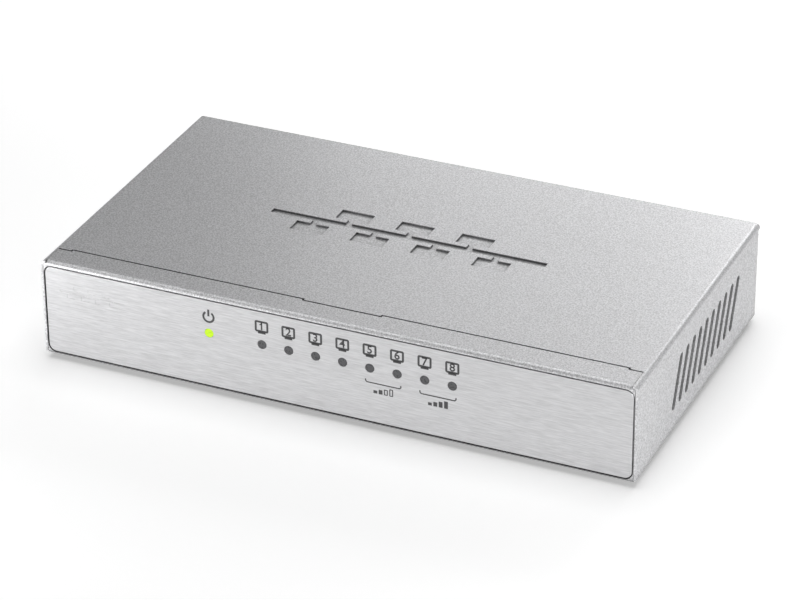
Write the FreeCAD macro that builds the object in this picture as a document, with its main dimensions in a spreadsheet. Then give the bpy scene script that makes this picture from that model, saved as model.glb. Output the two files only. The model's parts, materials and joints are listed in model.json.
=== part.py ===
import FreeCAD, Part
import math
import os
import re

import Sketcher

# Eight-port desktop network switch in a folded-steel case.  Millimetres.
# Frame: origin under the middle of the case on the surface that the feet stand on,
# +X to the right seen from the front, the front faces -Y, +Z up.

Vector = FreeCAD.Vector
PORTS = 8
CONTACTS = 8
VENTS = 10
FINS = 7

DIMENSIONS = {
    # folded case
    "case_width": 158.0,
    "case_depth": 88.0,
    "case_height": 28.0,
    "foot_height": 1.6,
    "gauge": 0.6,
    "cover_bend": 1.3,
    "lip_bend": 1.2,
    "floor_bend": 0.8,
    "fold_gap": 0.1,
    "seam_gap": 0.45,
    "lip_side_gap": 0.06,
    "skirt_lift": 0.6,
    # seam between the front lip and the cover
    "lip_depth": 7.9,
    "seam_step": 0.65,
    "tab_half": 10.2,
    "seam_end": 74.3,
    "tongue_length": 4.0,
    "tongue_width": 20.0,
    "tongue_x": 50.0,
    "tongue_drop": 0.1,
    "tongue_gauge": 0.5,
    "joggle_start": 1.2,
    "joggle_end": 2.0,
    # side vents
    "vent_pitch": 4.62,
    "vent_low_y": -18.3,
    "vent_low_z": 8.85,
    "vent_rise": 11.2,
    "vent_slant": 21.9,
    "vent_half": 1.15,
    # sunk mark on the cover
    "mark_depth": 0.5,
    "mark_half": 37.5,
    "mark_y": 2.5,
    "mark_bar": 2.0,
    "mark_stem": 1.8,
    "mark_stem_length": 1.6,
    "mark_box_width": 9.0,
    "mark_box_depth": 4.6,
    "mark_pitch": 16.5,
    "mark_taper": 12.0,
    # the same mark, smaller, on the front plate
    "badge_scale": 0.24,
    "badge_x": -65.0,
    "badge_z": 20.4,
    "badge_depth": 0.06,
    # front plate
    "plate_half": 77.95,
    "plate_low": 2.5,
    "plate_high": 26.5,
    "plate_thickness": 0.4,
    "plate_sink": 0.05,
    "plate_corner": 1.9,
    "plate_gap": 0.3,
    "plate_edge": 0.08,
    # lights
    "lamp_z": 17.4,
    "lamp_first_x": -18.3,
    "lamp_pitch": 7.19,
    "power_lamp_x": -32.7,
    "lens_radius": 1.15,
    "lens_clearance": 0.08,
    "pipe_width": 2.3,
    "pipe_back": 38.6,
    "pipe_bevel": 1.6,
    "pipe_to_light": 0.8,
    "pipe_root": 0.1,
    "tie_low": 12.4,
    "tie_high": 13.8,
    "tie_front": 0.2,
    "light_width": 1.6,
    "light_depth": 0.8,
    "light_height": 0.6,
    # cover ears and screws
    "ear_inner": 71.6,
    "ear_top": 25.4,
    "ear_screw_x": 74.7,
    "ear_screw_z": 14.0,
    "screw_radius": 1.5,
    "screw_hole": 1.7,
    "countersink": 2.6,
    "head_clearance": 0.05,
    "tapped_radius": 1.5,
    "head_radius": 2.75,
    "head_height": 1.7,
    "cover_screw_length": 4.5,
    "recess_width": 0.7,
    "recess_length": 3.0,
    "recess_depth": 1.0,
    "cover_recess_depth": 0.5,
    # wall-mounting keyholes
    "keyhole_x": 50.0,
    "keyhole_y": -4.0,
    "keyhole_radius": 3.5,
    "keyhole_slot": 1.75,
    "keyhole_travel": 7.5,
    # feet
    "foot_radius": 4.5,
    "foot_x": 67.0,
    "foot_y": 33.0,
    # board
    "board_half": 75.5,
    "board_front": -40.6,
    "board_back": 41.6,
    "board_thickness": 1.6,
    "board_corner": 1.5,
    "standoff_height": 5.2,
    "standoff_radius": 2.6,
    "board_screw_x": 71.6,
    "board_screw_front": -33.0,
    "board_screw_back": 29.0,
    "board_screw_length": 5.0,
    "standoff_root": 0.6,
    "flange_height": 4.2,
    "flange_end": 5.0,
    # modular jacks
    "port_first_x": -37.0,
    "port_pitch": 14.0,
    "jack_back": 25.0,
    "jack_face": 43.2,
    "jack_height": 12.6,
    "cavity_back": 27.6,
    "cavity_floor": 1.8,
    "cavity_half": 5.95,
    "cavity_rise": 7.1,
    "latch_half": 3.2,
    "latch_rise": 1.5,
    "notch_half": 1.7,
    "notch_rise": 1.1,
    "trough_half": 4.3,
    "trough_face": 41.2,
    "shield_gauge": 0.25,
    "shield_gap": 0.1,
    "shield_lip": 0.15,
    "window_gap": 0.4,
    # jack contacts
    "contact_pitch": 1.016,
    "contact_wire": 0.36,
    "contact_pivot_y": 40.6,
    "contact_pivot_z": 10.5,
    "contact_crest_y": 31.6,
    "contact_crest_z": 12.7,
    "contact_tip_y": 30.4,
    "contact_tip_z": 12.2,
    "lead_foot_y": 26.6,
    "lead_foot_length": 1.6,
    "lead_lift": 0.3,
    "lead_gap": 0.2,
    # power inlet
    "inlet_x": -60.0,
    "inlet_half": 4.5,
    "inlet_back": 30.0,
    "inlet_face": 43.9,
    "inlet_height": 11.0,
    "inlet_corner": 0.5,
    "inlet_axis_z": 15.2,
    "inlet_bore": 3.15,
    "inlet_bore_back": 34.4,
    "inlet_pin": 1.05,
    "inlet_pin_tip": 42.4,
    "inlet_pin_root": 1.6,
    "inlet_pin_flange": 1.6,
    "inlet_pin_edge": 0.35,
    "inlet_slot_half": 1.1,
    "inlet_slot_back": 34.8,
    "inlet_slot_front": 43.0,
    "inlet_slot_inner": 2.0,
    "leaf_half": 0.85,
    "leaf_gauge": 0.3,
    "leaf_root_x": 3.4,
    "leaf_root_y": 35.2,
    "leaf_bulge_x": 2.6,
    "leaf_bulge_y": 39.4,
    "leaf_tip_x": 3.2,
    "leaf_tip_y": 42.2,
    # parts on the board
    "lead_clearance": 0.1,
    "sink_x": 14.0,
    "sink_y": -8.0,
    "sink_side": 19.0,
    "sink_lift": 1.5,
    "sink_base": 1.6,
    "sink_height": 7.0,
    "fin_pitch": 3.0,
    "fin_thickness": 1.0,
    "module_y": 15.0,
    "module_width": 24.0,
    "module_depth": 10.0,
    "module_height": 5.6,
    "can_x": -66.0,
    "can_y": 6.0,
    "can_radius": 3.15,
    "can_height": 8.0,
    "can_pitch_x": 8.0,
    "can_pitch_y": 9.0,
    "coil_x": -47.0,
    "coil_y": 4.0,
    "coil_side": 7.0,
    "coil_corner": 1.0,
    "coil_height": 3.4,
    "coil_pitch": 11.0,
}

document = FreeCAD.newDocument("network_switch")
sheet = document.addObject("Spreadsheet::Sheet", "Dims")
for row, (alias, size) in enumerate(DIMENSIONS.items(), start=1):
    sheet.set(f"A{row}", alias)
    sheet.set(f"B{row}", str(size))
    sheet.setAlias(f"B{row}", alias)
document.recompute()

# Heights and faces that several sub-parts share
HALF = "(case_width / 2)"
FRONT = "(case_depth / 2)"
FLOOR = "(foot_height + gauge)"
BOARD_LOW = f"({FLOOR} + standoff_height)"
BOARD_TOP = f"({BOARD_LOW} + board_thickness)"
REAR_WALL = f"({FRONT} - gauge - fold_gap)"
BASE_HALF = f"({HALF} - gauge - fold_gap)"
CAVITY_LOW = f"({BOARD_TOP} + cavity_floor)"
SEAT = "(plate_thickness + plate_sink)"

nodes = {}


def in_sheet(expression):
    """The expression with every dimension's name written as a cell of the sheet."""
    def cell(word):
        return f"Dims.{word[0]}" if word[0] in DIMENSIONS else word[0]
    return re.sub(r"[a-z_]+", cell, expression)


def size_of(expression):
    return float(sheet.evalExpression(in_sheet(expression)))


def bind(thing, name, expression):
    thing.setExpression(name, in_sheet(expression))


def keep(thing, node):
    """Name the finished sub-part and list it for export."""
    thing.Label = node
    nodes[node] = thing
    return thing


def new_body(node, x="0", y="0", z="0"):
    body = document.addObject("PartDesign::Body", f"{node}_body")
    body.AllowCompound = True
    for letter, expression in zip("xyz", (x, y, z)):
        bind(body, f"Placement.Base.{letter}", expression)
    return keep(body, node)


# ---- sketches -------------------------------------------------------------------

def sketch_on(body, plane, offset="0"):
    """Sketch on an origin plane.  Its normal is +Z on XY, -Y on XZ and +X on YZ."""
    sketch = body.newObject("Sketcher::SketchObject", f"{body.Label}_outline")
    support = next(item for item in body.Origin.OriginFeatures if item.Role == f"{plane}_Plane")
    sketch.AttachmentSupport = [(support, "")]
    sketch.MapMode = "FlatFace"
    bind(sketch, "AttachmentOffset.Base.z", offset)
    return sketch


def hold(sketch, kind, geometry, point, expression):
    """Fix one coordinate of a point by a dimension from the sketch's origin."""
    constraint = Sketcher.Constraint(kind, -1, 1, geometry, point, size_of(expression))
    bind(sketch, f"Constraints[{sketch.addConstraint(constraint)}]", expression)


def line(sketch, start, end):
    """A line whose two ends are fixed by dimensions; returns its number."""
    points = [Vector(size_of(u), size_of(v), 0) for u, v in (start, end)]
    number = sketch.addGeometry(Part.LineSegment(*points))
    for end_number, (u, v) in enumerate((start, end), start=1):
        hold(sketch, "DistanceX", number, end_number, u)
        hold(sketch, "DistanceY", number, end_number, v)
    return number


def arc(sketch, first, second, centre, way=1):
    """An arc from the end of one line to the start of the next: way 1 turns left, -1 right."""
    middle = Vector(size_of(centre[0]), size_of(centre[1]), 0)
    start = sketch.getPoint(first, 2)
    end = sketch.getPoint(second, 1)
    spoke = start - middle
    half_turn = FreeCAD.Rotation(Vector(0, 0, way), math.degrees(spoke.getAngle(end - middle)) / 2)
    ends = [(start, first, 2), (end, second, 1)][::way]
    number = sketch.addGeometry(Part.Arc(ends[0][0], middle + half_turn.multVec(spoke), ends[1][0]))
    for end_number, (_, side, side_end) in enumerate(ends, start=1):
        sketch.addConstraint(Sketcher.Constraint("Coincident", number, end_number, side, side_end))
    hold(sketch, "DistanceY", number, 3, centre[1])


def toward(start, end):
    """Unit steps in u and v from one corner to the next along an axis."""
    step_u, step_v = (size_of(end[axis]) - size_of(start[axis]) for axis in (0, 1))
    if abs(step_u) < abs(step_v):
        return 0, int(math.copysign(1, step_v))
    return int(math.copysign(1, step_u)), 0


def outline(sketch, corners):
    """A closed outline.  A corner is (u, v), or (u, v, radius) where a square corner is rounded."""
    sides, bends = [], []
    count = len(corners)
    for number, corner in enumerate(corners):
        before, after = corners[number - 1], corners[(number + 1) % count]
        if len(corner) == 2:
            bends.append((corner, corner, None, 0))
            continue
        u, v, radius = corner
        back, ahead = toward(corner, before), toward(corner, after)
        leave = (f"{u} + {back[0]} * ({radius})", f"{v} + {back[1]} * ({radius})")
        meet = (f"{u} + {ahead[0]} * ({radius})", f"{v} + {ahead[1]} * ({radius})")
        centre = (f"{u} + {back[0] + ahead[0]} * ({radius})", f"{v} + {back[1] + ahead[1]} * ({radius})")
        bends.append((leave, meet, centre, back[1] * ahead[0] - back[0] * ahead[1]))
    for number in range(count):
        sides.append(line(sketch, bends[number][1], bends[(number + 1) % count][0]))
    for number, (_, _, centre, way) in enumerate(bends):
        if centre:
            arc(sketch, sides[number - 1], sides[number], centre, way)


def rectangle(sketch, low, high, radius=None):
    rounding = (radius,) if radius else ()
    corners = [low, (high[0], low[1]), high, (low[0], high[1])]
    outline(sketch, [corner + rounding for corner in corners])


def circle(sketch, centre, radius):
    number = sketch.addGeometry(Part.Circle(Vector(size_of(centre[0]), size_of(centre[1]), 0),
                                            Vector(0, 0, 1), size_of(radius)))
    hold(sketch, "DistanceX", number, 3, centre[0])
    hold(sketch, "DistanceY", number, 3, centre[1])
    limit = Sketcher.Constraint("Radius", number, size_of(radius))
    bind(sketch, f"Constraints[{sketch.addConstraint(limit)}]", radius)


# ---- features -------------------------------------------------------------------

def feature(body, kind, sketch, length, symmetric=False):
    made = body.newObject(f"PartDesign::{kind}", f"{body.Label}_{kind.lower()}")
    made.Profile = sketch
    bind(made, "Length", length)
    if symmetric:
        made.SideType = "Symmetric"
    document.recompute()
    return made


def pad(body, sketch, length, symmetric=False):
    """Material from the sketch along its normal, or to both sides of it."""
    return feature(body, "Pad", sketch, length, symmetric)


def pocket(body, sketch, length):
    """A cut from the sketch against its normal."""
    return feature(body, "Pocket", sketch, length)


def row_along(body, axis, count, spacing):
    made = body.newObject("PartDesign::LinearPattern", f"{body.Label}_row")
    support = next(item for item in body.Origin.OriginFeatures if item.Role == f"{axis}_Axis")
    made.Direction = (support, [""])
    made.Mode = "Spacing"
    made.Occurrences = count
    bind(made, "Offset", spacing)
    return made


def repeat(body, originals, *rows):
    """Copies of the features along one axis or two, each row given as (axis, count, spacing)."""
    if len(rows) == 1:
        made = row_along(body, *rows[0])
    else:
        made = body.newObject("PartDesign::MultiTransform", f"{body.Label}_grid")
        made.Transformations = [row_along(body, *row) for row in rows]
    made.Originals = originals
    body.Tip = made
    document.recompute()


def edges_where(shape, test):
    """Names of the edges whose two ends both pass the test."""
    return [f"Edge{number}" for number, edge in enumerate(shape.Edges, start=1)
            if len(edge.Vertexes) == 2 and all(test(corner.Point) for corner in edge.Vertexes)]


def near(value, expression):
    return abs(value - size_of(expression)) < 0.01


def dress(body, kind, test, size):
    """Fillet or chamfer the edges of the body's last feature that pass the test."""
    made = body.newObject(f"PartDesign::{kind}", f"{body.Label}_{kind.lower()}")
    base = made.BaseFeature
    made.Base = (base, edges_where(base.Shape, test))
    bind(made, "Radius" if kind == "Fillet" else "Size", size)
    document.recompute()
    return made


def block(node, low, high):
    """A box between two corners, each given as three expressions."""
    box = document.addObject("Part::Box", f"{node}_block")
    for side, start, end in zip(("Length", "Width", "Height"), low, high):
        bind(box, side, f"{end} - ({start})")
    for letter, expression in zip("xyz", low):
        bind(box, f"Placement.Base.{letter}", expression)
    return box


# ---- case -----------------------------------------------------------------------

def mark_outline(x, y, scale):
    """Outline of the mark about (x, y): one bar with boxes on stems, alternately below and above."""
    far = "mark_stem_length + mark_box_depth"
    box = [("mark_stem", "0"), ("mark_stem", "mark_stem_length"),
           ("mark_box_width", "mark_stem_length"), ("mark_box_width", far)]

    def along_bar(side, places):
        """The bar's edge on one side, taken to the left above and to the right below."""
        points = [(f"{side} * mark_half", "0")]
        for place in places:
            walk = [(side, step) for step in box] + [(-side, step) for step in reversed(box)]
            points += [(f"{place} * mark_pitch + {way} * {width} / 2", rise) for way, (width, rise) in walk]
        points.append((f"{-side} * mark_half", "0"))
        return [(f"{x} + {scale} * ({u})", f"{y} + {scale} * {side} * (mark_bar / 2 + {v})")
                for u, v in points]

    return along_bar(-1, (-1.5, -0.5, 0.5, 1.5)) + along_bar(1, (1, 0, -1))


def make_top_cover():
    body = new_body("top_cover")
    low, top = "(foot_height + skirt_lift)", "case_height"
    section = sketch_on(body, "XZ")
    outline(section, [
        (f"-{HALF}", low), (f"-{HALF} + gauge", low),
        (f"-{HALF} + gauge", f"{top} - gauge", "cover_bend - gauge"),
        (f"{HALF} - gauge", f"{top} - gauge", "cover_bend - gauge"),
        (f"{HALF} - gauge", low), (HALF, low), (HALF, top, "cover_bend"), (f"-{HALF}", top, "cover_bend"),
    ])
    pad(body, section, "case_depth", symmetric=True)

    # the front lip of the base lies in this opening; its rear edge is stepped
    opening = sketch_on(body, "XY", top)
    seam, step = f"-{FRONT} + lip_depth", f"-{FRONT} + lip_depth - seam_step"
    inside, ahead = f"({HALF} - cover_bend - lip_side_gap)", f"-{FRONT} - 1"
    outline(opening, [
        (f"-{inside}", ahead), (inside, ahead), (inside, step), ("seam_end", step), ("seam_end", seam),
        ("tab_half", seam), ("tab_half", step), ("-tab_half", step), ("-tab_half", seam),
        ("-seam_end", seam), ("-seam_end", step), (f"-{inside}", step),
    ])
    pocket(body, opening, "gauge + fold_gap")

    # slanted vents through both side walls
    vent = sketch_on(body, "YZ", HALF)
    reach_y, reach_z = "vent_half * cos(vent_slant)", "vent_half * sin(vent_slant)"
    high_y, high_z = "(vent_low_y + vent_rise * tan(vent_slant))", "(vent_low_z + vent_rise)"
    rising = line(vent, (f"vent_low_y + {reach_y}", f"vent_low_z - {reach_z}"),
                  (f"{high_y} + {reach_y}", f"{high_z} - {reach_z}"))
    falling = line(vent, (f"{high_y} - {reach_y}", f"{high_z} + {reach_z}"),
                   (f"vent_low_y - {reach_y}", f"vent_low_z + {reach_z}"))
    arc(vent, rising, falling, (high_y, high_z))
    arc(vent, falling, rising, ("vent_low_y", "vent_low_z"))
    slot = pocket(body, vent, "case_width")
    repeat(body, [slot], ("Y", VENTS, "vent_pitch"))

    # the side walls stop short of the back, where an ear folds in round each rear corner
    relief = sketch_on(body, "YZ", HALF)
    fold = f"({FRONT} - cover_bend)"
    rectangle(relief, (fold, f"{low} - 1"), (f"{FRONT} + 1", f"{top} - cover_bend"))
    pocket(body, relief, "case_width")
    for side in (1, -1):
        ear = sketch_on(body, "XY", low)
        outer, inner = f"{side} * {HALF}", f"{side} * ({HALF} - gauge)"
        bend_x, tip = f"{side} * ({HALF} - cover_bend)", f"{side} * ear_inner"
        root = line(ear, (inner, fold), (outer, fold))
        outside = line(ear, (bend_x, FRONT), (tip, FRONT))
        line(ear, (tip, FRONT), (tip, f"{FRONT} - gauge"))
        inside_face = line(ear, (tip, f"{FRONT} - gauge"), (bend_x, f"{FRONT} - gauge"))
        arc(ear, root, outside, (bend_x, fold), side)
        arc(ear, inside_face, root, (bend_x, fold), -side)
        pad(body, ear, f"ear_top - {low}")
    holes = sketch_on(body, "XZ", f"-({FRONT} - gauge)")
    for side in (1, -1):
        circle(holes, (f"{side} * ear_screw_x", "ear_screw_z"), "screw_hole")
    sunk = pocket(body, holes, "gauge")
    bind(sunk, "TaperAngle", "atan((countersink - screw_hole) / gauge)")

    # joggled tongues that hook under the front lip
    for side in (1, -1):
        tongue = sketch_on(body, "YZ", f"{side} * tongue_x - tongue_width / 2")
        underside = f"({top} - gauge)"
        upper, lower = f"{underside} - tongue_drop", f"{underside} - tongue_drop - tongue_gauge"
        outline(tongue, [
            (f"{seam} - tongue_length", upper), (f"{seam} - tongue_length", lower),
            (f"{seam} + joggle_start", lower), (f"{seam} + joggle_end", underside),
            (f"{seam} + tongue_drop", underside), (f"{seam} + tongue_drop", upper),
        ])
        pad(body, tongue, "tongue_width")

    # mark pressed into the sheet, which stands out as much underneath
    pressed = sketch_on(body, "XY", f"{top} - gauge - mark_depth")
    outline(pressed, mark_outline("0", "mark_y", "1"))
    pad(body, pressed, "mark_depth")
    mark = sketch_on(body, "XY", top)
    outline(mark, mark_outline("0", "mark_y", "1"))
    sunk_mark = pocket(body, mark, "mark_depth")
    bind(sunk_mark, "TaperAngle", "-mark_taper")


def make_base_chassis():
    body = new_body("base_chassis")
    top, floor_low = "case_height", "foot_height"
    front, rear = f"(-{FRONT})", REAR_WALL
    lip_end = f"({front} + lip_depth - seam_gap)"
    wall_top = f"({top} - gauge - lip_side_gap)"

    # folded profile: lip, front wall, floor and rear wall
    profile = sketch_on(body, "YZ", f"-{BASE_HALF}")
    outline(profile, [
        (front, floor_low, "floor_bend"), (rear, floor_low, "floor_bend"), (rear, wall_top),
        (f"{rear} - gauge", wall_top), (f"{rear} - gauge", FLOOR, "floor_bend / 2"),
        (f"{front} + gauge", FLOOR, "floor_bend / 2"),
        (f"{front} + gauge", f"{top} - gauge", "lip_bend / 2"),
        (lip_end, f"{top} - gauge"), (lip_end, top), (front, top, "lip_bend"),
    ])
    pad(body, profile, f"2 * {BASE_HALF}")

    # the lip lies between the bends of the cover, and its rear edge follows the cover's steps
    trim = sketch_on(body, "XY", top)
    lip_half = f"({HALF} - cover_bend - 2 * lip_side_gap)"
    ahead, behind = f"{front} - 1", f"{front} + lip_depth + 1"
    stepped = f"({lip_end} - seam_step)"
    for side in (1, -1):
        rectangle(trim, (f"{side} * {lip_half}", ahead), (f"{side} * ({HALF} + 1)", behind))
    pocket(body, trim, "gauge + fold_gap")
    corners = sketch_on(body, "XZ", f"{FRONT} - lip_depth")
    for side in (1, -1):
        low_corner, high_corner = f"{top} - cover_bend + gauge / 3", f"{top} - gauge + fold_gap"
        edge, inner = f"{side} * ({BASE_HALF} + fold_gap)", f"{side} * ({BASE_HALF} - 5 * fold_gap)"
        outline(corners, [(edge, low_corner), (edge, high_corner), (inner, high_corner)][::side])
    trimmed = pocket(body, corners, "lip_depth + 1")
    trimmed.Reversed = True
    steps = sketch_on(body, "XY", top)
    rectangle(steps, ("-(tab_half + seam_gap)", stepped), ("tab_half + seam_gap", behind))
    for side in (1, -1):
        rectangle(steps, (f"{side} * (seam_end - seam_gap)", stepped), (f"{side} * {HALF}", behind))
    pocket(body, steps, "gauge")

    # shallow seat pressed into the front wall for the plate
    seat_low = ("-(plate_half + plate_gap)", "plate_low - plate_gap")
    seat_high = ("plate_half + plate_gap", "plate_high + plate_gap")
    seat = sketch_on(body, "XZ", f"{FRONT} - gauge - {SEAT}")
    rectangle(seat, seat_low, seat_high, "plate_corner + plate_gap")
    pad(body, seat, SEAT)
    hollow = sketch_on(body, "XZ", f"{FRONT} - {SEAT}")
    rectangle(hollow, seat_low, seat_high, "plate_corner + plate_gap")
    cut = pocket(body, hollow, SEAT)
    cut.Reversed = True

    holes = sketch_on(body, "XZ", FRONT)
    for x in lamp_places():
        circle(holes, (x, "lamp_z"), "lens_radius + lens_clearance")
    pocket(body, holes, "2 * gauge")

    # rear wall: one window for the jacks, one for the power inlet, two tapped holes
    windows = sketch_on(body, "XZ", f"-({rear} - 2 * gauge)")
    sill = f"{BOARD_TOP} - window_gap"
    jacks_low = "port_first_x - port_pitch / 2 - shield_gauge - window_gap"
    jacks_high = f"port_first_x + {PORTS - 0.5} * port_pitch + shield_gauge + window_gap"
    jacks_top = f"{BOARD_TOP} + jack_height + shield_gauge + window_gap"
    rectangle(windows, (jacks_low, sill), (jacks_high, jacks_top), "floor_bend")
    rectangle(windows, ("inlet_x - inlet_half - window_gap", sill),
              ("inlet_x + inlet_half + window_gap", f"{BOARD_TOP} + inlet_height + window_gap"), "floor_bend")
    for side in (1, -1):
        circle(windows, (f"{side} * ear_screw_x", "ear_screw_z"), "tapped_radius")
    pocket(body, windows, "4 * gauge")

    # the rear wall stops clear of the cover's folded corners
    clear = sketch_on(body, "XY", top)
    for side in (1, -1):
        rectangle(clear, (f"{side} * ({HALF} - cover_bend)", f"{FRONT} - cover_bend"),
                  (f"{side} * ({HALF} + 1)", f"{FRONT} + 1"))
    pocket(body, clear, f"{top} - {FLOOR}")

    # keyholes in the floor: round entry and narrower slot behind it
    entries = sketch_on(body, "XY", f"{FLOOR} + 1")
    slots = sketch_on(body, "XY", f"{FLOOR} + 1")
    for side in (1, -1):
        centre = f"{side} * keyhole_x"
        circle(entries, (centre, "keyhole_y"), "keyhole_radius")
        rectangle(slots, (f"{centre} - keyhole_slot", "keyhole_y"),
                  (f"{centre} + keyhole_slot", "keyhole_y + keyhole_travel"), "keyhole_slot * 0.99")
    pocket(body, entries, "gauge + 2")
    pocket(body, slots, "gauge + 2")

    # low upright flanges along both sides
    flanges = sketch_on(body, "XY", f"{FLOOR} - gauge / 2")
    for side in (1, -1):
        rectangle(flanges, (f"{side} * ({BASE_HALF} - gauge)", f"{front} + flange_end"),
                  (f"{side} * {BASE_HALF}", f"{rear} - flange_end"))
    pad(body, flanges, "flange_height + gauge / 2")


def lamp_places():
    return ["power_lamp_x"] + [f"lamp_first_x + {port} * lamp_pitch" for port in range(PORTS)]


def make_front_plate():
    body = new_body("front_plate")
    face = sketch_on(body, "XZ", f"{FRONT} - {SEAT}")
    rectangle(face, ("-plate_half", "plate_low"), ("plate_half", "plate_high"), "plate_corner")
    pad(body, face, "plate_thickness")
    holes = sketch_on(body, "XZ", FRONT)
    for x in lamp_places():
        circle(holes, (x, "lamp_z"), "lens_radius + lens_clearance")
    pocket(body, holes, "plate_thickness * 2")
    dress(body, "Chamfer", lambda point: near(point.y, f"plate_sink - {FRONT}"), "plate_edge")
    badge = sketch_on(body, "XZ", f"{FRONT} - plate_sink")
    outline(badge, mark_outline("badge_x", "badge_z", "badge_scale"))
    pocket(body, badge, "badge_depth")


def make_light_pipes(node, first_x, count):
    """Clear moulding: round lenses in the front wall, each on a pipe that turns down to its light."""
    body = new_body(node, x=first_x)
    inside = f"({FRONT} - gauge - {SEAT})"
    low, high = "(lamp_z - pipe_width / 2)", "(lamp_z + pipe_width / 2)"
    features = []
    if count > 1:
        tie = sketch_on(body, "YZ", "-pipe_width / 2")
        rectangle(tie, ("-(pipe_back + pipe_width - tie_front)", "tie_low"),
                  ("-(pipe_back + tie_front)", "tie_high"))
        pad(body, tie, f"{count - 1} * lamp_pitch + pipe_width")
    elbow = sketch_on(body, "YZ", "-pipe_width / 2")
    root, back, foot = f"-{inside} + pipe_root", "(-pipe_back)", f"{BOARD_TOP} + pipe_to_light"
    outline(elbow, [
        (root, low), (f"{back} - pipe_width", low), (f"{back} - pipe_width", foot), (back, foot),
        (back, f"{high} - pipe_bevel"), (f"{back} - pipe_bevel", high), (root, high),
    ])
    features.append(pad(body, elbow, "pipe_width"))
    lens = sketch_on(body, "XZ", f"{inside} - 2 * pipe_root")
    circle(lens, ("0", "lamp_z"), "lens_radius")
    features.append(pad(body, lens, f"gauge + {SEAT} + 2 * pipe_root - plate_sink"))
    if count > 1:
        repeat(body, features, ("X", count, "lamp_pitch"))


def make_lights(node, first_x, count):
    """Surface-mounted lights, one under each pipe."""
    body = new_body(node, x=first_x)
    package = sketch_on(body, "XY", BOARD_TOP)
    middle = "-(pipe_back + pipe_width / 2)"
    rectangle(package, ("-light_width / 2", f"{middle} - light_depth / 2"),
              ("light_width / 2", f"{middle} + light_depth / 2"))
    made = pad(body, package, "light_height")
    if count > 1:
        repeat(body, [made], ("X", count, "lamp_pitch"))


def make_board():
    body = new_body("main_board")
    face = sketch_on(body, "XY", BOARD_LOW)
    rectangle(face, ("-board_half", "board_front"), ("board_half", "board_back"), "board_corner")
    pad(body, face, "board_thickness")
    holes = sketch_on(body, "XY", f"{BOARD_TOP} + 1")
    for x in ("-board_screw_x", "board_screw_x"):
        for y in ("board_screw_front", "board_screw_back"):
            circle(holes, (x, y), "screw_hole")
    pocket(body, holes, "board_thickness + 2")


def four_corners(body, features):
    repeat(body, features, ("X", 2, "2 * board_screw_x"), ("Y", 2, "board_screw_back - board_screw_front"))


def make_standoffs():
    body = new_body("standoffs", x="-board_screw_x", y="board_screw_front")
    post = sketch_on(body, "XY", FLOOR)
    circle(post, ("0", "0"), "standoff_radius")
    column = pad(body, post, "standoff_height")
    bore = sketch_on(body, "XY", f"{BOARD_LOW}")
    circle(bore, ("0", "0"), "screw_radius")
    drilled = pocket(body, bore, "standoff_height - standoff_root")
    four_corners(body, [column, drilled])


def turn(body, sketch):
    """The sketch turned once about its horizontal axis."""
    made = body.newObject("PartDesign::Revolution", f"{body.Label}_turned")
    made.Profile = sketch
    made.ReferenceAxis = (sketch, ["H_Axis"])
    made.Angle = 360
    document.recompute()
    return made


def cross_recess(body, plane, offset, depth):
    """Two crossed slots, cut against the sketch's normal."""
    made = []
    for wide, tall in (("recess_length", "recess_width"), ("recess_width", "recess_length")):
        slot = sketch_on(body, plane, offset)
        rectangle(slot, (f"-{wide} / 2", f"-{tall} / 2"), (f"{wide} / 2", f"{tall} / 2"))
        made.append(pocket(body, slot, depth))
    return made


def make_screws():
    pan = new_body("board_screws", x="-board_screw_x", y="board_screw_front")
    head = sketch_on(pan, "XY", BOARD_TOP)
    circle(head, ("0", "0"), "head_radius")
    cap = pad(pan, head, "head_height")
    shank = sketch_on(pan, "XY", f"{BOARD_TOP} - board_screw_length")
    circle(shank, ("0", "0"), "screw_radius")
    rod = pad(pan, shank, "board_screw_length")
    four_corners(pan, [cap, rod] + cross_recess(pan, "XY", f"{BOARD_TOP} + head_height", "recess_depth"))

    flat = new_body("cover_screws", x="-ear_screw_x", z="ear_screw_z")
    side = sketch_on(flat, "YZ")
    tip = f"{FRONT} - cover_screw_length"
    outline(side, [
        (tip, "0"), (FRONT, "0"), (FRONT, "countersink - head_clearance"),
        (f"{FRONT} - gauge", "screw_hole - head_clearance"), (f"{FRONT} - gauge", "screw_radius"),
        (tip, "screw_radius"),
    ])
    turned = turn(flat, side)
    slots = cross_recess(flat, "XZ", f"-({FRONT} - cover_recess_depth)", "2 * cover_recess_depth")
    repeat(flat, [turned] + slots, ("X", 2, "2 * ear_screw_x"))


def make_feet():
    body = new_body("rubber_feet", x="-foot_x", y="-foot_y")
    pad_face = sketch_on(body, "XY")
    circle(pad_face, ("0", "0"), "foot_radius")
    disc = pad(body, pad_face, "foot_height")
    repeat(body, [disc], ("X", 2, "2 * foot_x"), ("Y", 2, "2 * foot_y"))


# ---- modular jacks --------------------------------------------------------------

def mouth(sketch, grow="0"):
    """The stepped opening of one jack, latch side up, grown by a margin."""
    half, low = f"(cavity_half + {grow})", f"({CAVITY_LOW} - {grow})"
    high = f"({CAVITY_LOW} + cavity_rise + {grow})"
    latch, notch = f"(latch_half + {grow})", f"(notch_half + {grow})"
    middle, top = f"({high} + latch_rise)", f"({high} + latch_rise + notch_rise)"
    outline(sketch, [
        (f"-{half}", low), (half, low), (half, high), (latch, high), (latch, middle), (notch, middle),
        (notch, top), (f"-{notch}", top), (f"-{notch}", middle), (f"-{latch}", middle), (f"-{latch}", high),
        (f"-{half}", high),
    ])


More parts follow.
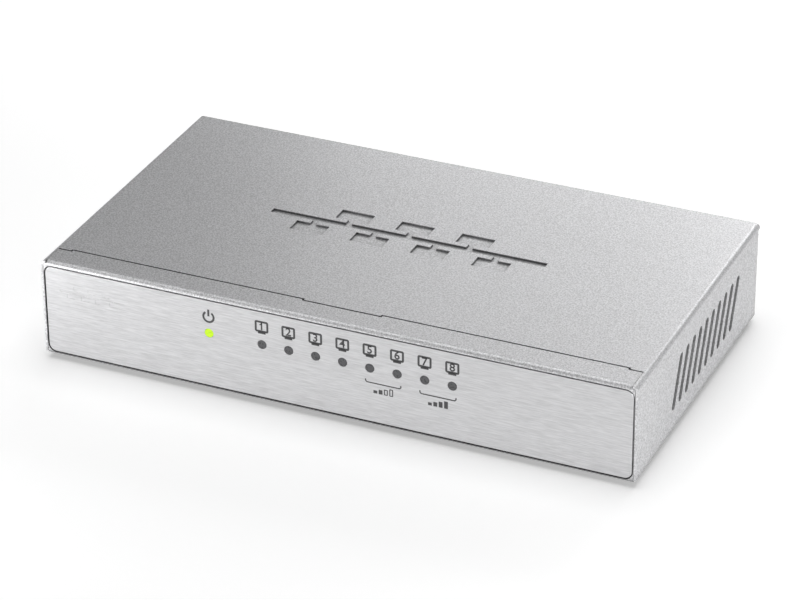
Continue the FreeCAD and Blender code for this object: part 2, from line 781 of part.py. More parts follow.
def make_jack_housing():
    body = new_body("jack_housing", x="port_first_x")
    face = sketch_on(body, "XZ", "-jack_face")
    rectangle(face, ("-port_pitch / 2", BOARD_TOP),
              (f"{PORTS - 0.5} * port_pitch", f"{BOARD_TOP} + jack_height"))
    pad(body, face, "jack_face - jack_back")
    cavity = sketch_on(body, "XZ", "-cavity_back")
    mouth(cavity)
    hole = pocket(body, cavity, "jack_face - cavity_back + 1")
    trough = sketch_on(body, "XZ", "-(jack_back - 1)")
    rectangle(trough, ("-trough_half", f"{BOARD_TOP} - 1"), ("trough_half", f"{CAVITY_LOW} + shield_gap"))
    channel = pocket(body, trough, "trough_face - jack_back + 1")
    repeat(body, [hole, channel], ("X", PORTS, "port_pitch"))


def make_jack_shield():
    body = new_body("jack_shield", x="port_first_x")
    left, right = "(-port_pitch / 2 - shield_gap)", f"({PORTS - 0.5} * port_pitch + shield_gap)"
    top, back = f"({BOARD_TOP} + jack_height + shield_gap)", "(jack_back - shield_gap)"
    outside = sketch_on(body, "XZ", "-(jack_face + shield_gap + shield_gauge)")
    rectangle(outside, (f"{left} - shield_gauge", BOARD_TOP),
              (f"{right} + shield_gauge", f"{top} + shield_gauge"))
    pad(body, outside, f"jack_face + shield_gap + 2 * shield_gauge - {back}")
    inside = sketch_on(body, "XZ", f"-{back}")
    rectangle(inside, (left, f"{BOARD_TOP} - 1"), (right, top))
    pocket(body, inside, f"jack_face + shield_gap - {back}")
    window = sketch_on(body, "XZ", "-jack_face")
    mouth(window, "shield_lip")
    opening = pocket(body, window, "2")
    repeat(body, [opening], ("X", PORTS, "port_pitch"))


def make_contacts():
    """Eight sprung wires in each jack, each rising inwards from a fixed lead by the mouth."""
    wire = "contact_wire"
    leads = new_body("contact_leads", x="port_first_x")
    run_low, run_high = f"({BOARD_TOP} + lead_lift)", f"({BOARD_TOP} + lead_lift + {wire})"
    heel, riser = "(lead_foot_y + lead_foot_length)", "contact_pivot_y"
    side = sketch_on(leads, "YZ", f"-{(CONTACTS - 1) / 2} * contact_pitch - {wire} / 2")
    outline(side, [
        ("lead_foot_y", BOARD_TOP), (heel, BOARD_TOP), (heel, run_low), (riser, run_low),
        (riser, "contact_pivot_z - lead_gap"), (f"{riser} - {wire}", "contact_pivot_z - lead_gap"),
        (f"{riser} - {wire}", run_high), (f"{heel} - {wire}", run_high),
        (f"{heel} - {wire}", f"{BOARD_TOP} + {wire}"), ("lead_foot_y", f"{BOARD_TOP} + {wire}"),
    ])
    bent = pad(leads, side, wire)
    repeat(leads, [bent], ("X", CONTACTS, "contact_pitch"), ("X", PORTS, "port_pitch"))

    for port in range(PORTS):
        arms = new_body(f"port_{port + 1}_contacts", x=f"port_first_x + {port} * port_pitch")
        spring = sketch_on(arms, "YZ", f"-{(CONTACTS - 1) / 2} * contact_pitch - {wire} / 2")
        outline(spring, [
            ("contact_pivot_y", "contact_pivot_z"), ("contact_pivot_y", f"contact_pivot_z + {wire}"),
            ("contact_crest_y", f"contact_crest_z + {wire}"), ("contact_tip_y", f"contact_tip_z + {wire}"),
            ("contact_tip_y", "contact_tip_z"), ("contact_crest_y", "contact_crest_z"),
            (f"contact_pivot_y - {wire} / 2", "contact_pivot_z"),
        ])
        arm = pad(arms, spring, wire)
        repeat(arms, [arm], ("X", CONTACTS, "contact_pitch"))


# ---- power inlet ----------------------------------------------------------------

def make_power_inlet():
    body = new_body("power_inlet", x="inlet_x")
    face = sketch_on(body, "XZ", "-inlet_face")
    rectangle(face, ("-inlet_half", BOARD_TOP), ("inlet_half", f"{BOARD_TOP} + inlet_height"), "inlet_corner")
    pad(body, face, "inlet_face - inlet_back")
    bore = sketch_on(body, "XZ", "-inlet_bore_back")
    circle(bore, ("0", "inlet_axis_z"), "inlet_bore")
    pocket(body, bore, "inlet_face - inlet_bore_back + 1")
    socket = sketch_on(body, "XZ", "-(inlet_bore_back - inlet_pin_flange)")
    circle(socket, ("0", "inlet_axis_z"), "inlet_pin_root")
    pocket(body, socket, "inlet_pin_flange * 1.1")
    slot = sketch_on(body, "YZ", "inlet_half + 1")
    rectangle(slot, ("inlet_slot_back", "inlet_axis_z - inlet_slot_half"),
              ("inlet_slot_front", "inlet_axis_z + inlet_slot_half"))
    pocket(body, slot, "inlet_half + 1 - inlet_slot_inner")

    pin = new_body("power_inlet_pin", x="inlet_x", z="inlet_axis_z")
    side = sketch_on(pin, "YZ")
    root = "inlet_bore_back - inlet_pin_flange"
    outline(side, [
        (root, "0"), ("inlet_pin_tip", "0"), ("inlet_pin_tip", "inlet_pin - inlet_pin_edge"),
        ("inlet_pin_tip - inlet_pin_edge", "inlet_pin"), ("inlet_bore_back", "inlet_pin"),
        ("inlet_bore_back", "inlet_pin_root"), (root, "inlet_pin_root"),
    ])
    turn(pin, side)

    leaf = new_body("power_inlet_leaf", x="inlet_x", z="inlet_axis_z")
    strip = sketch_on(leaf, "XY", "-leaf_half")
    outline(strip, [
        ("leaf_root_x", "leaf_root_y"), ("leaf_root_x + leaf_gauge", "leaf_root_y"),
        ("leaf_bulge_x + leaf_gauge", "leaf_bulge_y"), ("leaf_tip_x + leaf_gauge", "leaf_tip_y"),
        ("leaf_tip_x", "leaf_tip_y"), ("leaf_bulge_x", "leaf_bulge_y"),
    ])
    pad(leaf, strip, "2 * leaf_half")


# ---- parts on the board ---------------------------------------------------------

def make_chip(node, size, place):
    """Moulded package standing just clear of the board."""
    base = f"{BOARD_TOP} + lead_clearance"
    low = (f"{place[0]} - {size[0]} / 2", f"{place[1]} - {size[1]} / 2", base)
    high = (f"{place[0]} + {size[0]} / 2", f"{place[1]} + {size[1]} / 2", f"{base} + {size[2]}")
    keep(block(node, low, high), node)


def make_heat_sink():
    """Comb of fins on the switch chip."""
    sink = new_body("heat_sink", x="sink_x", y="sink_y")
    comb = sketch_on(sink, "XZ", "-sink_side / 2")
    base = f"({BOARD_TOP} + sink_lift)"
    valley, crest = f"{base} + sink_base", f"{base} + sink_height"
    corners = [("-sink_side / 2", base), ("sink_side / 2", base)]
    for fin in reversed(range(FINS)):
        left = f"(-sink_side / 2 + {fin} * fin_pitch)"
        corners += [(f"{left} + fin_thickness", crest), (left, crest)]
        if fin:
            corners += [(left, valley), (f"{left} + fin_thickness - fin_pitch", valley)]
    outline(comb, corners)
    pad(sink, comb, "sink_side")


def make_board_parts():
    make_chip("switch_chip", ("20", "20", "1.4"), ("sink_x", "sink_y"))
    make_chip("flash_memory", ("5", "4", "1.6"), ("-8", "-12"))
    make_chip("voltage_regulator", ("6.5", "6", "2.2"), ("-52", "-4"))
    make_chip("crystal", ("11", "4.6", "3.6"), ("14", "-26"))

    row = new_body("magnetics", x="port_first_x + port_pitch / 2", y="module_y")
    case = sketch_on(row, "XY", f"{BOARD_TOP} + lead_clearance")
    rectangle(case, ("-module_width / 2", "-module_depth / 2"), ("module_width / 2", "module_depth / 2"))
    module = pad(row, case, "module_height")
    repeat(row, [module], ("X", PORTS // 2, "2 * port_pitch"))

    cans = new_body("capacitors", x="can_x", y="can_y")
    can = sketch_on(cans, "XY", BOARD_TOP)
    circle(can, ("0", "0"), "can_radius")
    tall = pad(cans, can, "can_height")
    repeat(cans, [tall], ("X", 2, "can_pitch_x"), ("Y", 2, "can_pitch_y"))

    coils = new_body("inductors", x="coil_x", y="coil_y")
    core = sketch_on(coils, "XY", f"{BOARD_TOP} + lead_clearance")
    rectangle(core, ("-coil_side / 2", "-coil_side / 2"), ("coil_side / 2", "coil_side / 2"), "coil_corner")
    coil = pad(coils, core, "coil_height")
    repeat(coils, [coil], ("Y", 2, "coil_pitch"))


make_top_cover()
make_base_chassis()
make_front_plate()
make_light_pipes("port_light_pipes", "lamp_first_x", PORTS)
make_light_pipes("power_light_pipe", "power_lamp_x", 1)
make_lights("port_lights", "lamp_first_x", PORTS)
make_lights("power_light", "power_lamp_x", 1)
make_board()
make_standoffs()
make_screws()
make_feet()
make_jack_housing()
make_jack_shield()
make_contacts()
make_power_inlet()
make_heat_sink()
make_board_parts()
document.recompute()


def faults():
    """Everything that a recompute can leave wrong without saying so."""
    for item in document.Objects:
        if "Invalid" in item.State or "Error" in item.State:
            yield f"{item.Name}: {item.State}"
        if item.TypeId == "PartDesign::Pocket":
            if not item.Shape.Volume < item.BaseFeature.Shape.Volume - 1e-6:
                yield f"{item.Name}: cuts nothing"
    for node, thing in nodes.items():
        if thing.Shape.isNull() or not thing.Shape.isValid() or not thing.Shape.Solids:
            yield f"{node}: no valid solid"


problems = list(faults())
if problems:
    raise RuntimeError("\n".join(problems))
os.makedirs("parts", exist_ok=True)
for node, thing in nodes.items():
    thing.Shape.exportStep(f"parts/{node}.step")
    box = thing.Shape.BoundBox
    print(f"{node}: {len(thing.Shape.Solids)} solids, {thing.Shape.Volume:.1f} mm3, "
          f"x {box.XMin:.2f} {box.XMax:.2f}, y {box.YMin:.2f} {box.YMax:.2f}, "
          f"z {box.ZMin:.2f} {box.ZMax:.2f}")
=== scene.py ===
import json
import math

import bmesh
import bpy
from mathutils import Matrix, Vector

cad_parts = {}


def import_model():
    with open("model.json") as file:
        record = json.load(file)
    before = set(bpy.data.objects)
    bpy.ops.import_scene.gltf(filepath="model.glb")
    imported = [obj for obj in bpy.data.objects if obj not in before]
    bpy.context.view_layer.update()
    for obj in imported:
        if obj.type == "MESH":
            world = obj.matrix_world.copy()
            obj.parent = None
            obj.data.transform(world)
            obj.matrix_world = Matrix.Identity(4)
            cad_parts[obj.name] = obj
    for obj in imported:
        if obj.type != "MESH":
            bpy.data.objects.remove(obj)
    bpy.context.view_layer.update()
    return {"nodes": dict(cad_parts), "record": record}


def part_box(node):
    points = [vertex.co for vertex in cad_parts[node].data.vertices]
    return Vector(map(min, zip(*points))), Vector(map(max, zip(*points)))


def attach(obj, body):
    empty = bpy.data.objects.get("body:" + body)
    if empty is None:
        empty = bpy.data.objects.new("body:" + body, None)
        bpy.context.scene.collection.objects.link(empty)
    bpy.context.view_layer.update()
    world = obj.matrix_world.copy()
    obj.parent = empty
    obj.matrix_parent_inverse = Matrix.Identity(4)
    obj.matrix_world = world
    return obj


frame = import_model()

MM = 0.001
PORTS = 8


# ---- node materials -------------------------------------------------------------

NOISE_LOW = 0.3
NOISE_HIGH = 0.7
CREVICE = 4 * MM


class Shader:
    """A principled material with short calls for the nodes that feed it."""

    def __init__(self, name, colour, roughness, metallic=0.0):
        self.material = bpy.data.materials.new(name)
        self.material.use_nodes = True
        self.tree = self.material.node_tree
        self.surface = self.tree.nodes["Principled BSDF"]
        self.surface.inputs["Base Color"].default_value = (*colour, 1)
        self.surface.inputs["Roughness"].default_value = roughness
        self.surface.inputs["Metallic"].default_value = metallic
        self.place = self.tree.nodes.new("ShaderNodeTexCoord").outputs["Object"]

    def link(self, output, target):
        self.tree.links.new(output, target)

    def stretched(self, scale):
        """Object coordinates, in metres, multiplied along each axis."""
        mapping = self.tree.nodes.new("ShaderNodeMapping")
        mapping.inputs["Scale"].default_value = scale
        self.link(self.place, mapping.inputs["Vector"])
        return mapping.outputs["Vector"]

    def noise(self, scale, detail=2.0, roughness=0.5, place=None):
        """Noise from 0 to 1, mostly between NOISE_LOW and NOISE_HIGH."""
        texture = self.tree.nodes.new("ShaderNodeTexNoise")
        texture.inputs["Scale"].default_value = scale
        texture.inputs["Detail"].default_value = detail
        texture.inputs["Roughness"].default_value = roughness
        self.link(place or self.place, texture.inputs["Vector"])
        return texture.outputs["Fac"]

    def ramp(self, factor, low, high, start=NOISE_LOW, end=NOISE_HIGH):
        """Colours from low to high as the factor goes from start to end."""
        ramp = self.tree.nodes.new("ShaderNodeValToRGB")
        ramp.color_ramp.elements[0].position = start
        ramp.color_ramp.elements[1].position = end
        ramp.color_ramp.elements[0].color = (*low, 1)
        ramp.color_ramp.elements[1].color = (*high, 1)
        self.link(factor, ramp.inputs["Fac"])
        return ramp.outputs["Color"]

    def colour(self, output):
        self.link(output, self.surface.inputs["Base Color"])

    def roughness(self, factor, low, high):
        """Roughness from low to high with the noise."""
        spread = self.tree.nodes.new("ShaderNodeMapRange")
        spread.inputs["From Min"].default_value = NOISE_LOW
        spread.inputs["From Max"].default_value = NOISE_HIGH
        spread.inputs["To Min"].default_value = low
        spread.inputs["To Max"].default_value = high
        self.link(factor, spread.inputs["Value"])
        self.link(spread.outputs["Result"], self.surface.inputs["Roughness"])

    def bump(self, height, distance, strength, over=None):
        """Relief of this many metres, added to the normals in over."""
        bump = self.tree.nodes.new("ShaderNodeBump")
        bump.inputs["Strength"].default_value = strength
        bump.inputs["Distance"].default_value = distance
        self.link(height, bump.inputs["Height"])
        if over:
            self.link(over, bump.inputs["Normal"])
        self.link(bump.outputs["Normal"], self.surface.inputs["Normal"])

    def coat(self, weight, roughness, normal):
        """Clear lacquer that follows the edges but not the grain."""
        self.surface.inputs["Coat Weight"].default_value = weight
        self.surface.inputs["Coat Roughness"].default_value = roughness
        self.link(normal, self.surface.inputs["Coat Normal"])

    def closed_in(self, colour, reach):
        """The colour with painted shade: darker in slots, seams and other places with little sky."""
        shade = self.tree.nodes.new("ShaderNodeAmbientOcclusion")
        shade.samples = 8
        shade.inputs["Distance"].default_value = reach
        self.link(colour, shade.inputs["Color"])
        return shade.outputs["Color"]

    def soft_edges(self, radius):
        """Normals that turn over the edges, as if each had a small radius."""
        bevel = self.tree.nodes.new("ShaderNodeBevel")
        bevel.samples = 6
        bevel.inputs["Radius"].default_value = radius
        return bevel.outputs["Normal"]


def grey(level, blue=0.0):
    return (level, level, level + blue)


def painted_steel():
    """Silver powder paint: fine sandy grain with small light and dark flecks."""
    shader = Shader("silver_paint", grey(0.62), 0.45, metallic=0.5)
    grain = shader.noise(3600, detail=2, roughness=0.6)
    flecks = shader.noise(2600, detail=1)
    paint = shader.ramp(flecks, grey(0.47, 0.01), grey(0.77, 0.014), 0.32, 0.68)
    # Painted shade: the paint colour is darkened twice over in slots, seams and recesses, where little
    # light reaches.
    once_painted_shade = shader.closed_in(paint, CREVICE)
    shader.colour(shader.closed_in(once_painted_shade, CREVICE))
    shader.roughness(grain, 0.4, 0.52)
    edges = shader.soft_edges(0.00008)
    shader.bump(grain, 0.00003, 0.3, over=edges)
    shader.coat(0.3, 0.22, edges)
    return shader.material


def brushed_plate():
    """Aluminium brushed from side to side."""
    shader = Shader("brushed_plate", grey(0.62), 0.34, metallic=1.0)
    across = shader.stretched((260, 400, 4200))
    streaks = shader.noise(1.0, detail=3, roughness=0.6, place=across)
    shader.colour(shader.ramp(streaks, grey(0.55, 0.008), grey(0.72, 0.01)))
    shader.roughness(streaks, 0.31, 0.39)
    shader.bump(streaks, 0.000008, 0.4, over=shader.soft_edges(0.00005))
    return shader.material


def plain_metal(name, low, high, roughness, grain_scale):
    """Plated metal with faint cloudy variation."""
    shader = Shader(name, low, roughness, metallic=1.0)
    cloud = shader.noise(grain_scale, detail=3)
    shader.colour(shader.ramp(cloud, low, high))
    shader.roughness(cloud, roughness * 0.9, roughness * 1.15)
    shader.bump(cloud, 0.000004, 0.2, over=shader.soft_edges(0.00006))
    return shader.material


def moulded_plastic(name, low, high, roughness, grain_scale=2500):
    """Plastic or rubber with a fine moulded grain and slow changes of shade."""
    shader = Shader(name, low, roughness)
    grain = shader.noise(grain_scale, detail=2)
    cloud = shader.noise(300)
    shader.colour(shader.ramp(cloud, low, high))
    shader.roughness(grain, roughness * 0.85, roughness * 1.15)
    shader.bump(grain, 0.00001, 0.35, over=shader.soft_edges(0.00008))
    return shader.material


def smoked_lens():
    """Dark lens with its light off."""
    shader = Shader("smoked_lens", grey(0.08), 0.3)
    cloud = shader.noise(1500, detail=2)
    shader.colour(shader.ramp(cloud, grey(0.07, 0.004), grey(0.09, 0.004)))
    shader.roughness(cloud, 0.24, 0.36)
    return shader.material


def lit_lens():
    """Yellow-green lens with its light on."""
    shader = Shader("lit_lens", (0.2, 0.35, 0.01), 0.3)
    cloud = shader.noise(2200, detail=2)
    glow = shader.ramp(cloud, (0.36, 0.56, 0.002), (0.46, 0.70, 0.01))
    shader.colour(shader.ramp(cloud, (0.16, 0.28, 0.004), (0.24, 0.4, 0.01)))
    shader.link(glow, shader.surface.inputs["Emission Color"])
    shader.surface.inputs["Emission Strength"].default_value = 1.0
    return shader.material


def circuit_board():
    """Green solder mask over faint tracks."""
    shader = Shader("circuit_board", (0.01, 0.12, 0.04), 0.35)
    along = shader.stretched((1, 0.15, 1))
    tracks = shader.noise(260, detail=1, place=along)
    mask, track = (0.008, 0.09, 0.03), (0.02, 0.17, 0.06)
    shader.colour(shader.ramp(tracks, mask, track, start=0.47, end=0.53))
    shader.bump(tracks, 0.00003, 0.4)
    return shader.material


def grey_ink():
    """Screen-printed ink, slightly uneven."""
    level = 0.06
    shader = Shader("grey_ink", grey(level), 0.55)
    cover = shader.noise(3200, detail=2)
    shader.colour(shader.ramp(cover, grey(level * 0.85), grey(level * 1.2, 0.004)))
    shader.bump(cover, 0.000004, 0.3)
    return shader.material


MATERIALS = {
    "painted_steel": painted_steel(),
    "brushed_plate": brushed_plate(),
    "smoked_lens": smoked_lens(),
    "lit_lens": lit_lens(),
    "light_package": moulded_plastic("light_package", grey(0.6), grey(0.75), 0.3),
    "board": circuit_board(),
    "zinc": plain_metal("zinc", grey(0.55, 0.01), grey(0.68, 0.02), 0.3, 900),
    "rubber": moulded_plastic("rubber", grey(0.02), grey(0.035), 0.75, 1800),
    "jack_plastic": moulded_plastic("jack_plastic", grey(0.018), grey(0.03), 0.45),
    "tin_plate": plain_metal("tin_plate", grey(0.66, -0.01), grey(0.78, -0.01), 0.24, 400),
    "gold_contact": plain_metal("gold_contact", (0.75, 0.5, 0.16), (0.9, 0.66, 0.26), 0.22, 1500),
    "package": moulded_plastic("package", grey(0.015), grey(0.025), 0.5),
    "fin_metal": plain_metal("fin_metal", grey(0.28), grey(0.36), 0.4, 1200),
    "capacitor_sleeve": moulded_plastic("capacitor_sleeve", (0.01, 0.012, 0.04),
                                        (0.02, 0.02, 0.06), 0.3),
}


def dress_nodes():
    """Each CAD node takes the material of its slot in the record."""
    for part in frame["record"]["subparts"]:
        slots = frame["nodes"][part["node"]].data.materials
        for number in range(len(slots)):
            slots[number] = MATERIALS[part["material_slot"]]


# ---- printed marks --------------------------------------------------------------
# Each is drawn flat, as (across, up) in metres, and print_piece stands it on its wall.

def middle_x(box):
    low, high = box
    return (low.x + high.x) / 2


PLATE_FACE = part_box("front_plate")[0].y
REAR_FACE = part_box("base_chassis")[1].y
POWER_X = middle_x(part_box("power_light_pipe"))
INLET_X = middle_x(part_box("power_inlet"))
LAMP_PITCH = 7.19 * MM
FIRST_LAMP_X = middle_x(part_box("port_lights")) - (PORTS - 1) / 2 * LAMP_PITCH

INK_THICKNESS = 0.02 * MM
MITRE_LIMIT = 0.3
CORNER_STEPS = 5

# The built-in font, as parts of a digit's height.
FONT_SIZE = 1.37
FLAG_TIP = Vector((0, 0.36))
FLAG_SLOPE = Vector((0.23, 0.17))
FLAG_WIDTH = 0.12

SCREEN_Z = 22.42 * MM
SCREEN_SIZE = (3.12 * MM, 2.6 * MM)
SCREEN_CORNER = 0.25 * MM
SCREEN_LINE = 0.54 * MM
SCREEN_FOOT_Z = 20.72 * MM
SCREEN_FOOT_SIZE = (2.1 * MM, 0.62 * MM)
SCREEN_FOOT_CORNER = 0.1 * MM
SCREEN_DIGIT = 2.2 * MM
SCREEN_DIGIT_BOLD = 0.055 * MM

POWER_Z = 21.95 * MM
POWER_RADIUS = 1.4 * MM
POWER_LINE = 0.55 * MM
POWER_BAR_FROM = 0.2 * MM
POWER_BAR_TO = 2.05 * MM
POWER_RING_START = 125
POWER_RING_SWEEP = 290
POWER_RING_STEPS = 32

# name, left end, right end, filled bars
GROUPS = (
    ("group_bracket_1", 9.3 * MM, 18.6 * MM, 2),
    ("group_bracket_2", 23.6 * MM, 33.0 * MM, 4),
)
BRACKET_TOP = 14.3 * MM
BRACKET_LOW = 13.45 * MM
BRACKET_CORNER = 0.35 * MM
BRACKET_LINE = 0.32 * MM
BARS = 4
BARS_Z = 10.7 * MM
BAR_PITCH = 1.4 * MM
BAR_WIDTH = 1.0 * MM
BAR_SHORTEST = 0.8 * MM
BAR_RISE = 0.4 * MM
BAR_CORNER = 0.08 * MM
OPEN_BAR_LINE = 0.26 * MM
OPEN_BAR_CORNER = 0.05 * MM

REAR_Z = 24.5 * MM
REAR_DIGIT = 2.0 * MM
REAR_DIGIT_BOLD = 0.06 * MM
REAR_RING_SIZE = (2.2 * MM, 2.2 * MM)
REAR_RING_CORNER = 1.09 * MM
REAR_RING_LINE = 0.25 * MM
REAR_DOT_SIZE = (0.9 * MM, 0.9 * MM)
REAR_DOT_CORNER = 0.44 * MM


def strip(mesh, points, width, closed=False):
    """A stroke of constant width along the points, mitred at each turn."""
    count = len(points)
    pairs = []
    for number, point in enumerate(points):
        before = points[number - 1] if closed or number else None
        after = points[(number + 1) % count] if closed or number < count - 1 else None
        into = (point - before).normalized() if before is not None else (after - point).normalized()
        out = (after - point).normalized() if after is not None else into
        across = Vector((-(into + out).y, (into + out).x)).normalized()
        reach = width / 2 / max(MITRE_LIMIT, across.dot(Vector((-into.y, into.x))))
        pairs.append([mesh.verts.new((*(point + side * reach * across), 0)) for side in (-1, 1)])
    last = count if closed else count - 1
    for number in range(last):
        a, b = pairs[number], pairs[(number + 1) % count]
        mesh.faces.new((a[0], b[0], b[1], a[1]))


def fill(mesh, points):
    mesh.faces.new([mesh.verts.new((*point, 0)) for point in points])


def rounded_box(size, radius, centre):
    """The points round a box, anticlockwise from its lower right corner."""
    width, height = size
    points = []
    for quarter, (sx, sy) in enumerate(((1, -1), (1, 1), (-1, 1), (-1, -1))):
        middle = Vector(centre) + Vector((sx * (width / 2 - radius), sy * (height / 2 - radius)))
        for step in range(CORNER_STEPS + 1):
            angle = math.radians(-90 + 90 * quarter + 90 * step / CORNER_STEPS)
            points.append(middle + radius * Vector((math.cos(angle), math.sin(angle))))
    return points


def digit(mesh, text, height, centre, embolden):
    """A digit from the built-in font, as flat faces.  Its plain 1 gets a flag."""
    if text == "1":
        tip = Vector(centre) + FLAG_TIP * height
        strip(mesh, [tip - FLAG_SLOPE * height, tip], FLAG_WIDTH * height)
    curve = bpy.data.curves.new("digit", "FONT")
    curve.body = text
    curve.size = FONT_SIZE * height
    curve.offset = embolden
    curve.align_x, curve.align_y = "CENTER", "CENTER"
    maker = bpy.data.objects.new("digit", curve)
    bpy.context.scene.collection.objects.link(maker)
    bpy.context.view_layer.update()
    flat = bpy.data.meshes.new_from_object(maker)
    flat.transform(Matrix.Translation((*centre, 0)))
    mesh.from_mesh(flat)
    bpy.data.objects.remove(maker)
    bpy.data.curves.remove(curve)
    bpy.data.meshes.remove(flat)


def print_piece(name, mesh, face_y, material, facing=-1):
    """Turn a flat drawing into thin ink on a face that looks along -Y or +Y."""
    bmesh.ops.recalc_face_normals(mesh, faces=mesh.faces)
    drawing = bpy.data.meshes.new(name)
    mesh.to_mesh(drawing)
    mesh.free()
    turn = Matrix(((-facing, 0, 0, 0), (0, 0, facing, face_y), (0, 1, 0, 0), (0, 0, 0, 1)))
    drawing.transform(turn)
    piece = bpy.data.objects.new(name, drawing)
    bpy.context.scene.collection.objects.link(piece)
    solid = piece.modifiers.new("ink", "SOLIDIFY")
    solid.thickness = INK_THICKNESS
    solid.offset = 1
    drawing.materials.append(material)
    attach(piece, "case")


def port_icon(number, material):
    """A small screen on a foot with the port's number in it."""
    x = FIRST_LAMP_X + (number - 1) * LAMP_PITCH
    screen, foot = (x, SCREEN_Z), (x, SCREEN_FOOT_Z)
    mesh = bmesh.new()
    strip(mesh, rounded_box(SCREEN_SIZE, SCREEN_CORNER, screen), SCREEN_LINE, closed=True)
    fill(mesh, rounded_box(SCREEN_FOOT_SIZE, SCREEN_FOOT_CORNER, foot))
    digit(mesh, str(number), SCREEN_DIGIT, screen, SCREEN_DIGIT_BOLD)
    print_piece(f"port_icon_{number}", mesh, PLATE_FACE, material)


def power_icon(material):
    """Open ring with a bar through the gap."""
    centre = Vector((POWER_X, POWER_Z))
    ring = []
    for step in range(POWER_RING_STEPS + 1):
        angle = math.radians(POWER_RING_START + POWER_RING_SWEEP * step / POWER_RING_STEPS)
        ring.append(centre + POWER_RADIUS * Vector((math.cos(angle), math.sin(angle))))
    bar = [centre + Vector((0, POWER_BAR_FROM)), centre + Vector((0, POWER_BAR_TO))]
    mesh = bmesh.new()
    strip(mesh, ring, POWER_LINE)
    strip(mesh, bar, POWER_LINE)
    print_piece("power_icon", mesh, PLATE_FACE, material)


def bracket(left, right):
    """The points of a flat U with cut corners, open at the top."""
    places = ((left, BRACKET_TOP), (left, BRACKET_LOW + BRACKET_CORNER),
              (left + BRACKET_CORNER, BRACKET_LOW), (right - BRACKET_CORNER, BRACKET_LOW),
              (right, BRACKET_LOW + BRACKET_CORNER), (right, BRACKET_TOP))
    return [Vector(place) for place in places]


def port_group(name, left, right, filled, material):
    """Bracket under two lights with rising bars below: more filled bars for the faster queue."""
    mesh = bmesh.new()
    strip(mesh, bracket(left, right), BRACKET_LINE)
    for number in range(BARS):
        x = (left + right) / 2 + (number - (BARS - 1) / 2) * BAR_PITCH
        tall = BAR_SHORTEST + BAR_RISE * number
        middle = (x, BARS_Z + tall / 2)
        if number < filled:
            fill(mesh, rounded_box((BAR_WIDTH, tall), BAR_CORNER, middle))
        else:
            size = (BAR_WIDTH - OPEN_BAR_LINE, tall - OPEN_BAR_LINE)
            strip(mesh, rounded_box(size, OPEN_BAR_CORNER, middle), OPEN_BAR_LINE, closed=True)
    print_piece(name, mesh, PLATE_FACE, material)


def rear_marks(material):
    """A digit above each port, and a ring with a dot above the inlet.  Seen from behind, so x turns."""
    jacks_low, jacks_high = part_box("jack_housing")
    pitch = (jacks_high.x - jacks_low.x) / PORTS
    for number in range(1, PORTS + 1):
        x = jacks_low.x + pitch * (number - 0.5)
        mesh = bmesh.new()
        digit(mesh, str(number), REAR_DIGIT, (-x, REAR_Z), REAR_DIGIT_BOLD)
        print_piece(f"rear_digit_{number}", mesh, REAR_FACE, material, facing=1)
    inlet = (-INLET_X, REAR_Z)
    mesh = bmesh.new()
    strip(mesh, rounded_box(REAR_RING_SIZE, REAR_RING_CORNER, inlet), REAR_RING_LINE, closed=True)
    fill(mesh, rounded_box(REAR_DOT_SIZE, REAR_DOT_CORNER, inlet))
    print_piece("rear_power_ring", mesh, REAR_FACE, material, facing=1)


def print_marks():
    material = grey_ink()
    for number in range(1, PORTS + 1):
        port_icon(number, material)
    power_icon(material)
    for name, left, right, filled in GROUPS:
        port_group(name, left, right, filled, material)
    rear_marks(material)


# ---- stage ----------------------------------------------------------------------

def area_light(name, place, aim, size, power):
    """A white rectangular light at a place, facing what it aims at."""
    lamp = bpy.data.lights.new(name, "AREA")
    lamp.shape = "RECTANGLE"
    lamp.size, lamp.size_y = size
    lamp.energy = power
    holder = bpy.data.objects.new(name, lamp)
    bpy.context.scene.collection.objects.link(holder)
    holder.location = place
    holder.rotation_euler = (Vector(aim) - Vector(place)).to_track_quat("-Z", "Y").to_euler()


def floor():
    """A wide sheet of white paper with a faint glow, which keeps the background pale."""
    reach = 6
    corners = [(-reach, -reach, 0), (reach, -reach, 0), (reach, reach, 0), (-reach, reach, 0)]
    mesh = bpy.data.meshes.new("floor")
    mesh.from_pydata(corners, [], [(0, 1, 2, 3)])
    shader = Shader("floor_paper", grey(0.86), 0.8)
    shader.colour(shader.ramp(shader.noise(3), grey(0.85), grey(0.87)))
    shader.surface.inputs["Emission Color"].default_value = (1, 1, 1, 1)
    shader.surface.inputs["Emission Strength"].default_value = 0.32
    mesh.materials.append(shader.material)
    piece = bpy.data.objects.new("floor", mesh)
    bpy.context.scene.collection.objects.link(piece)


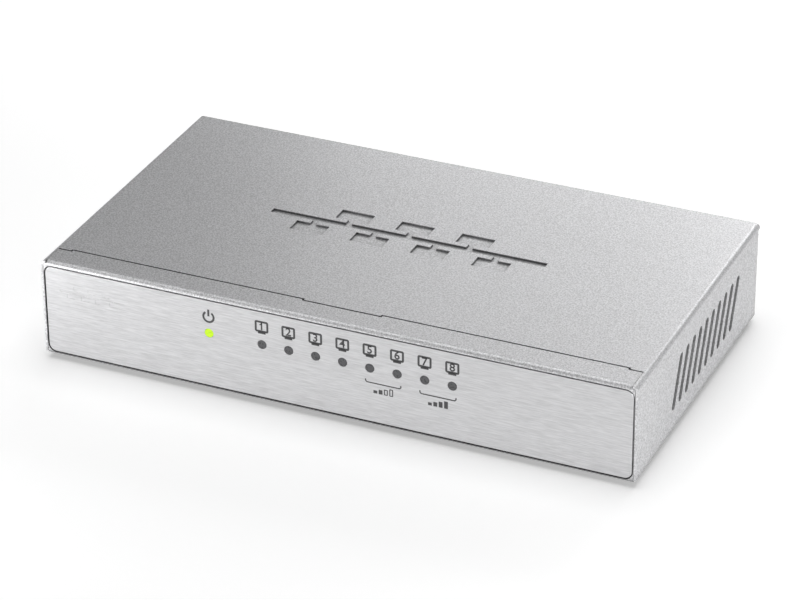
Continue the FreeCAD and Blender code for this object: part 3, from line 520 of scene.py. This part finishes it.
def world(level):
    """Even grey light from all round."""
    sky = bpy.data.worlds.new("studio")
    sky.use_nodes = True
    sky.node_tree.nodes["Background"].inputs["Color"].default_value = (*grey(level), 1)
    bpy.context.scene.world = sky


def camera():
    """Long lens from the front right and above."""
    azimuth = math.radians(24.02)
    elevation = math.radians(29.27)
    roll = math.radians(-0.45)
    aim = Vector((1.15, -4.88, 14.0)) * MM
    distance = 879.9 * MM
    level_way = Vector((-math.sin(azimuth), math.cos(azimuth), 0))
    way = math.cos(elevation) * level_way - Vector((0, 0, math.sin(elevation)))
    lens = bpy.data.cameras.new("camera")
    lens.lens = 157.85
    lens.sensor_width = 36
    lens.clip_start, lens.clip_end = 0.05, 30
    holder = bpy.data.objects.new("camera", lens)
    bpy.context.scene.collection.objects.link(holder)
    turn = way.to_track_quat("-Z", "Y").to_matrix() @ Matrix.Rotation(roll, 3, "Z")
    holder.matrix_world = Matrix.Translation(aim - distance * way) @ turn.to_4x4()
    bpy.context.scene.camera = holder


CASE_MIDDLE = (0.0, 0.0, 0.014)
LIGHTS = (
    # name, place, what it points at, size, power
    ("overhead_light", (0.0, 0.0, 1.1), CASE_MIDDLE, (1.0, 1.0), 7.4),
    ("back_light", (0.01, 0.4, 0.25), CASE_MIDDLE, (0.46, 0.14), 0.42),
    ("back_high_light", (0.06, 0.34, 0.21), CASE_MIDDLE, (0.16, 0.1), 0.14),
    ("back_right_light", (0.3, 0.32, 0.12), CASE_MIDDLE, (0.1, 0.1), 0.06),
    ("right_light", (0.21, -0.17, 0.05), (0.079, -0.04, 0.014), (0.06, 0.06), 0.17),
    ("front_left_light", (-0.22, -0.2, 0.035), (-0.04, -0.044, 0.014), (0.1, 0.03), 0.38),
    ("background_light", (-0.08, 0.2, 0.25), (-0.08, 0.5, 0.0), (0.3, 0.1), 0.3),
)


def stage():
    floor()
    world(0.05)
    for name, place, aim, size, power in LIGHTS:
        area_light(name, place, aim, size, power)
    camera()
    bpy.context.scene.view_settings.view_transform = "Standard"


dress_nodes()
print_marks()
stage()
